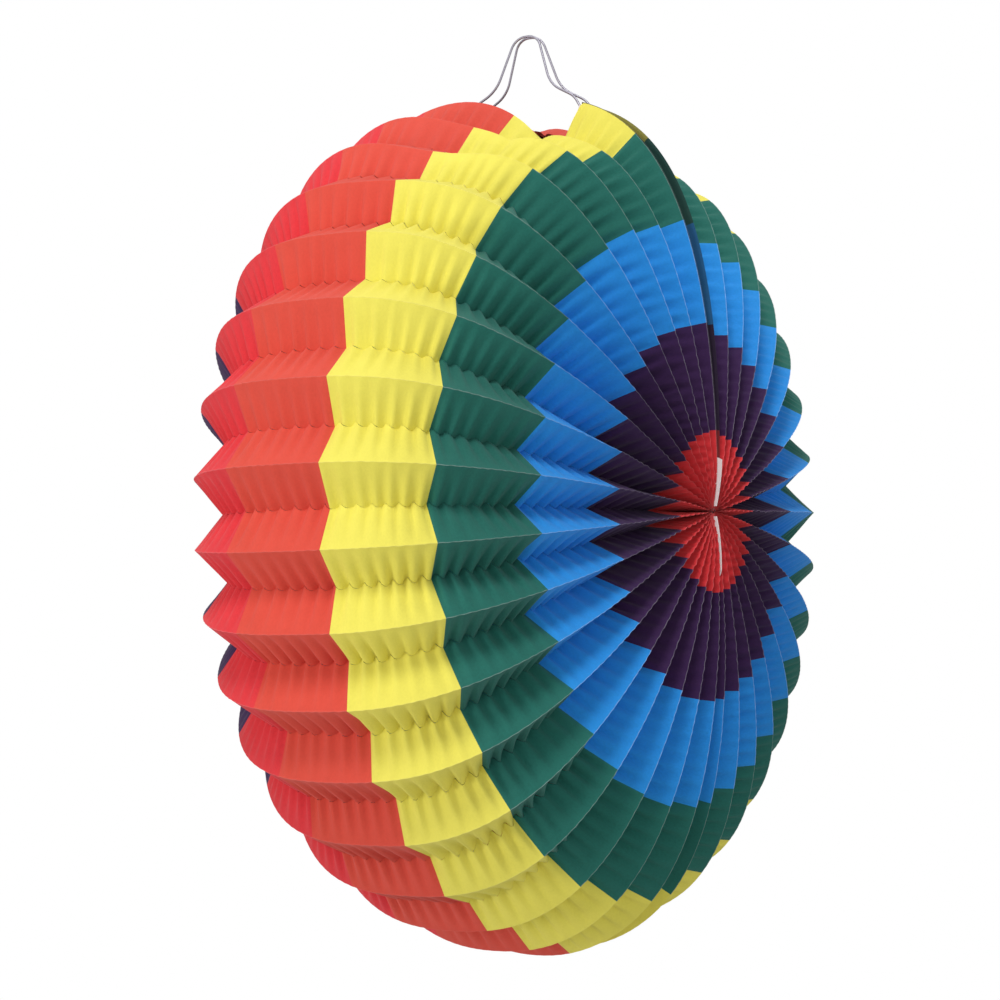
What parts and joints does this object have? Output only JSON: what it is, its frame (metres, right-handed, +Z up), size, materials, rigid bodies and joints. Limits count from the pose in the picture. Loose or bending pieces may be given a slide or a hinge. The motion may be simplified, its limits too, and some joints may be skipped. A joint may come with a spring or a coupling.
{
  "type": "accordion paper lantern",
  "caption": "Round pleated crepe-paper lantern, disc shaped with fan folds from pole to pole, rainbow cross bands, wire hanging bows over a top opening; folds flat like a fan.",
  "frame": {"origin": "inside of the top of the two wire bows, where a hook or stick carries the lantern; it lies 200 mm above the middle of the body", "axes": "+Z up; Y along the pole axis that the pleats fan about, with the front face towards -Y; X across, with the left half sheet towards -X"},
  "size_m": [0.3434, 0.1778, 0.373],
  "materials": {
    "crepe_paper": "matt creped paper, printed in cross bands of crimson, purple, blue, green, yellow and orange-red",
    "white_card": "plain matt card",
    "steel_wire": "drawn, dull",
    "paper_strip": "matt creped paper",
    "thread": "twisted cotton",
    "tin": "tinned, satin"
  },
  "bodies": {
    "left_end": {"left_end_card_front": "white_card", "left_end_card_back": "white_card", "left_bow_strip_front": "paper_strip", "left_bow_strip_back": "paper_strip", "left_wire_bow": "steel_wire", "left_end_pleat": "crepe_paper", "front_pole_tie": "thread", "back_pole_tie": "thread"},
    "right_end": {"right_end_card_front": "white_card", "right_end_card_back": "white_card", "right_bow_strip_front": "paper_strip", "right_bow_strip_back": "paper_strip", "right_wire_bow": "steel_wire", "right_end_pleat": "crepe_paper"},
    "fold_01": {"pleat_01": "crepe_paper"},
    "fold_02": {"pleat_02": "crepe_paper"},
    "fold_03": {"pleat_03": "crepe_paper"},
    "fold_04": {"pleat_04": "crepe_paper"},
    "fold_05": {"pleat_05": "crepe_paper"},
    "fold_06": {"pleat_06": "crepe_paper"},
    "fold_07": {"pleat_07": "crepe_paper"},
    "fold_08": {"pleat_08": "crepe_paper"},
    "fold_09": {"pleat_09": "crepe_paper"},
    "fold_10": {"pleat_10": "crepe_paper"},
    "fold_11": {"pleat_11": "crepe_paper"},
    "fold_12": {"pleat_12": "crepe_paper"},
    "fold_13": {"pleat_13": "crepe_paper"},
    "fold_14": {"pleat_14": "crepe_paper"},
    "fold_15": {"pleat_15": "crepe_paper"},
    "fold_16": {"pleat_16": "crepe_paper"},
    "fold_17": {"pleat_17": "crepe_paper"},
    "fold_18": {"pleat_18": "crepe_paper"},
    "fold_19": {"pleat_19": "crepe_paper"},
    "fold_20": {"pleat_20": "crepe_paper"},
    "fold_21": {"pleat_21": "crepe_paper"},
    "fold_22": {"pleat_22": "crepe_paper"},
    "fold_23": {"pleat_23": "crepe_paper"},
    "fold_24": {"pleat_24": "crepe_paper"},
    "fold_25": {"pleat_25": "crepe_paper"},
    "fold_26": {"pleat_26": "crepe_paper"},
    "fold_27": {"pleat_27": "crepe_paper"},
    "fold_28": {"pleat_28": "crepe_paper"},
    "fold_29": {"pleat_29": "crepe_paper"},
    "fold_30": {"pleat_30": "crepe_paper"},
    "fold_31": {"pleat_31": "crepe_paper"},
    "fold_32": {"pleat_32": "crepe_paper"},
    "fold_33": {"pleat_33": "crepe_paper"},
    "bottom_joint": {"bottom_joint_card": "white_card", "candle_clip": "tin", "candle_cup": "tin", "clip_eyelet": "tin"}
  },
  "joints": [
    {"name": "fan_fold", "type": "hinge", "parent": "left_end", "child": "right_end", "pos_m": [0, 0, -0.2], "axis": [0, 1, 0], "range_deg": [0, 342], "deforming": ["left_end_pleat", "right_end_pleat"]},
    {"name": "pleat_01_turn", "type": "hinge", "parent": "left_end", "child": "fold_01", "pos_m": [0, 0, -0.2], "axis": [0, 1, 0], "range_deg": [0, 10.18], "deforming": ["pleat_01"]},
    {"name": "pleat_02_turn", "type": "hinge", "parent": "left_end", "child": "fold_02", "pos_m": [0, 0, -0.2], "axis": [0, 1, 0], "range_deg": [0, 20.37], "deforming": ["pleat_02"]},
    {"name": "pleat_03_turn", "type": "hinge", "parent": "left_end", "child": "fold_03", "pos_m": [0, 0, -0.2], "axis": [0, 1, 0], "range_deg": [0, 30.55], "deforming": ["pleat_03"]},
    {"name": "pleat_04_turn", "type": "hinge", "parent": "left_end", "child": "fold_04", "pos_m": [0, 0, -0.2], "axis": [0, 1, 0], "range_deg": [0, 40.73], "deforming": ["pleat_04"]},
    {"name": "pleat_05_turn", "type": "hinge", "parent": "left_end", "child": "fold_05", "pos_m": [0, 0, -0.2], "axis": [0, 1, 0], "range_deg": [0, 50.92], "deforming": ["pleat_05"]},
    {"name": "pleat_06_turn", "type": "hinge", "parent": "left_end", "child": "fold_06", "pos_m": [0, 0, -0.2], "axis": [0, 1, 0], "range_deg": [0, 61.1], "deforming": ["pleat_06"]},
    {"name": "pleat_07_turn", "type": "hinge", "parent": "left_end", "child": "fold_07", "pos_m": [0, 0, -0.2], "axis": [0, 1, 0], "range_deg": [0, 71.28], "deforming": ["pleat_07"]},
    {"name": "pleat_08_turn", "type": "hinge", "parent": "left_end", "child": "fold_08", "pos_m": [0, 0, -0.2], "axis": [0, 1, 0], "range_deg": [0, 81.47], "deforming": ["pleat_08"]},
    {"name": "pleat_09_turn", "type": "hinge", "parent": "left_end", "child": "fold_09", "pos_m": [0, 0, -0.2], "axis": [0, 1, 0], "range_deg": [0, 91.65], "deforming": ["pleat_09"]},
    {"name": "pleat_10_turn", "type": "hinge", "parent": "left_end", "child": "fold_10", "pos_m": [0, 0, -0.2], "axis": [0, 1, 0], "range_deg": [0, 101.83], "deforming": ["pleat_10"]},
    {"name": "pleat_11_turn", "type": "hinge", "parent": "left_end", "child": "fold_11", "pos_m": [0, 0, -0.2], "axis": [0, 1, 0], "range_deg": [0, 112.01], "deforming": ["pleat_11"]},
    {"name": "pleat_12_turn", "type": "hinge", "parent": "left_end", "child": "fold_12", "pos_m": [0, 0, -0.2], "axis": [0, 1, 0], "range_deg": [0, 122.2], "deforming": ["pleat_12"]},
    {"name": "pleat_13_turn", "type": "hinge", "parent": "left_end", "child": "fold_13", "pos_m": [0, 0, -0.2], "axis": [0, 1, 0], "range_deg": [0, 132.38], "deforming": ["pleat_13"]},
    {"name": "pleat_14_turn", "type": "hinge", "parent": "left_end", "child": "fold_14", "pos_m": [0, 0, -0.2], "axis": [0, 1, 0], "range_deg": [0, 142.56], "deforming": ["pleat_14"]},
    {"name": "pleat_15_turn", "type": "hinge", "parent": "left_end", "child": "fold_15", "pos_m": [0, 0, -0.2], "axis": [0, 1, 0], "range_deg": [0, 152.75], "deforming": ["pleat_15"]},
    {"name": "pleat_16_turn", "type": "hinge", "parent": "left_end", "child": "fold_16", "pos_m": [0, 0, -0.2], "axis": [0, 1, 0], "range_deg": [0, 162.93], "deforming": ["pleat_16"]},
    {"name": "pleat_17_turn", "type": "hinge", "parent": "left_end", "child": "fold_17", "pos_m": [0, 0, -0.2], "axis": [0, 1, 0], "range_deg": [0, 173.11], "deforming": ["pleat_17"]},
    {"name": "pleat_18_turn", "type": "hinge", "parent": "left_end", "child": "fold_18", "pos_m": [0, 0, -0.2], "axis": [0, 1, 0], "range_deg": [0, 179.07], "deforming": ["pleat_18"]},
    {"name": "pleat_19_turn", "type": "hinge", "parent": "left_end", "child": "fold_19", "pos_m": [0, 0, -0.2], "axis": [0, 1, 0], "range_deg": [0, 189.25], "deforming": ["pleat_19"]},
    {"name": "pleat_20_turn", "type": "hinge", "parent": "left_end", "child": "fold_20", "pos_m": [0, 0, -0.2], "axis": [0, 1, 0], "range_deg": [0, 199.44], "deforming": ["pleat_20"]},
    {"name": "pleat_21_turn", "type": "hinge", "parent": "left_end", "child": "fold_21", "pos_m": [0, 0, -0.2], "axis": [0, 1, 0], "range_deg": [0, 209.62], "deforming": ["pleat_21"]},
    {"name": "pleat_22_turn", "type": "hinge", "parent": "left_end", "child": "fold_22", "pos_m": [0, 0, -0.2], "axis": [0, 1, 0], "range_deg": [0, 219.8], "deforming": ["pleat_22"]},
    {"name": "pleat_23_turn", "type": "hinge", "parent": "left_end", "child": "fold_23", "pos_m": [0, 0, -0.2], "axis": [0, 1, 0], "range_deg": [0, 229.99], "deforming": ["pleat_23"]},
    {"name": "pleat_24_turn", "type": "hinge", "parent": "left_end", "child": "fold_24", "pos_m": [0, 0, -0.2], "axis": [0, 1, 0], "range_deg": [0, 240.17], "deforming": ["pleat_24"]},
    {"name": "pleat_25_turn", "type": "hinge", "parent": "left_end", "child": "fold_25", "pos_m": [0, 0, -0.2], "axis": [0, 1, 0], "range_deg": [0, 250.35], "deforming": ["pleat_25"]},
    {"name": "pleat_26_turn", "type": "hinge", "parent": "left_end", "child": "fold_26", "pos_m": [0, 0, -0.2], "axis": [0, 1, 0], "range_deg": [0, 260.54], "deforming": ["pleat_26"]},
    {"name": "pleat_27_turn", "type": "hinge", "parent": "left_end", "child": "fold_27", "pos_m": [0, 0, -0.2], "axis": [0, 1, 0], "range_deg": [0, 270.72], "deforming": ["pleat_27"]},
    {"name": "pleat_28_turn", "type": "hinge", "parent": "left_end", "child": "fold_28", "pos_m": [0, 0, -0.2], "axis": [0, 1, 0], "range_deg": [0, 280.9], "deforming": ["pleat_28"]},
    {"name": "pleat_29_turn", "type": "hinge", "parent": "left_end", "child": "fold_29", "pos_m": [0, 0, -0.2], "axis": [0, 1, 0], "range_deg": [0, 291.08], "deforming": ["pleat_29"]},
    {"name": "pleat_30_turn", "type": "hinge", "parent": "left_end", "child": "fold_30", "pos_m": [0, 0, -0.2], "axis": [0, 1, 0], "range_deg": [0, 301.27], "deforming": ["pleat_30"]},
    {"name": "pleat_31_turn", "type": "hinge", "parent": "left_end", "child": "fold_31", "pos_m": [0, 0, -0.2], "axis": [0, 1, 0], "range_deg": [0, 311.45], "deforming": ["pleat_31"]},
    {"name": "pleat_32_turn", "type": "hinge", "parent": "left_end", "child": "fold_32", "pos_m": [0, 0, -0.2], "axis": [0, 1, 0], "range_deg": [0, 321.63], "deforming": ["pleat_32"]},
    {"name": "pleat_33_turn", "type": "hinge", "parent": "left_end", "child": "fold_33", "pos_m": [0, 0, -0.2], "axis": [0, 1, 0], "range_deg": [0, 331.82], "deforming": ["pleat_33"]},
    {"name": "bottom_joint_turn", "type": "hinge", "parent": "left_end", "child": "bottom_joint", "pos_m": [0, 0, -0.2], "axis": [0, 1, 0], "range_deg": [0, 176.09]}
  ],
  "couplings": [
    {"joint": "pleat_01_turn", "follows": "fan_fold", "ratio": 0.029775},
    {"joint": "pleat_02_turn", "follows": "fan_fold", "ratio": 0.05955},
    {"joint": "pleat_03_turn", "follows": "fan_fold", "ratio": 0.089326},
    {"joint": "pleat_04_turn", "follows": "fan_fold", "ratio": 0.1191},
    {"joint": "pleat_05_turn", "follows": "fan_fold", "ratio": 0.14888},
    {"joint": "pleat_06_turn", "follows": "fan_fold", "ratio": 0.17865},
    {"joint": "pleat_07_turn", "follows": "fan_fold", "ratio": 0.20843},
    {"joint": "pleat_08_turn", "follows": "fan_fold", "ratio": 0.2382},
    {"joint": "pleat_09_turn", "follows": "fan_fold", "ratio": 0.26798},
    {"joint": "pleat_10_turn", "follows": "fan_fold", "ratio": 0.29775},
    {"joint": "pleat_11_turn", "follows": "fan_fold", "ratio": 0.32753},
    {"joint": "pleat_12_turn", "follows": "fan_fold", "ratio": 0.3573},
    {"joint": "pleat_13_turn", "follows": "fan_fold", "ratio": 0.38708},
    {"joint": "pleat_14_turn", "follows": "fan_fold", "ratio": 0.41685},
    {"joint": "pleat_15_turn", "follows": "fan_fold", "ratio": 0.44663},
    {"joint": "pleat_16_turn", "follows": "fan_fold", "ratio": 0.4764},
    {"joint": "pleat_17_turn", "follows": "fan_fold", "ratio": 0.50618},
    {"joint": "pleat_18_turn", "follows": "fan_fold", "ratio": 0.5236},
    {"joint": "pleat_19_turn", "follows": "fan_fold", "ratio": 0.55337},
    {"joint": "pleat_20_turn", "follows": "fan_fold", "ratio": 0.58315},
    {"joint": "pleat_21_turn", "follows": "fan_fold", "ratio": 0.61292},
    {"joint": "pleat_22_turn", "follows": "fan_fold", "ratio": 0.6427},
    {"joint": "pleat_23_turn", "follows": "fan_fold", "ratio": 0.67247},
    {"joint": "pleat_24_turn", "follows": "fan_fold", "ratio": 0.70225},
    {"joint": "pleat_25_turn", "follows": "fan_fold", "ratio": 0.73202},
    {"joint": "pleat_26_turn", "follows": "fan_fold", "ratio": 0.7618},
    {"joint": "pleat_27_turn", "follows": "fan_fold", "ratio": 0.79157},
    {"joint": "pleat_28_turn", "follows": "fan_fold", "ratio": 0.82135},
    {"joint": "pleat_29_turn", "follows": "fan_fold", "ratio": 0.85112},
    {"joint": "pleat_30_turn", "follows": "fan_fold", "ratio": 0.8809},
    {"joint": "pleat_31_turn", "follows": "fan_fold", "ratio": 0.91067},
    {"joint": "pleat_32_turn", "follows": "fan_fold", "ratio": 0.94045},
    {"joint": "pleat_33_turn", "follows": "fan_fold", "ratio": 0.97022},
    {"joint": "bottom_joint_turn", "follows": "fan_fold", "ratio": 0.51489}
  ]
}
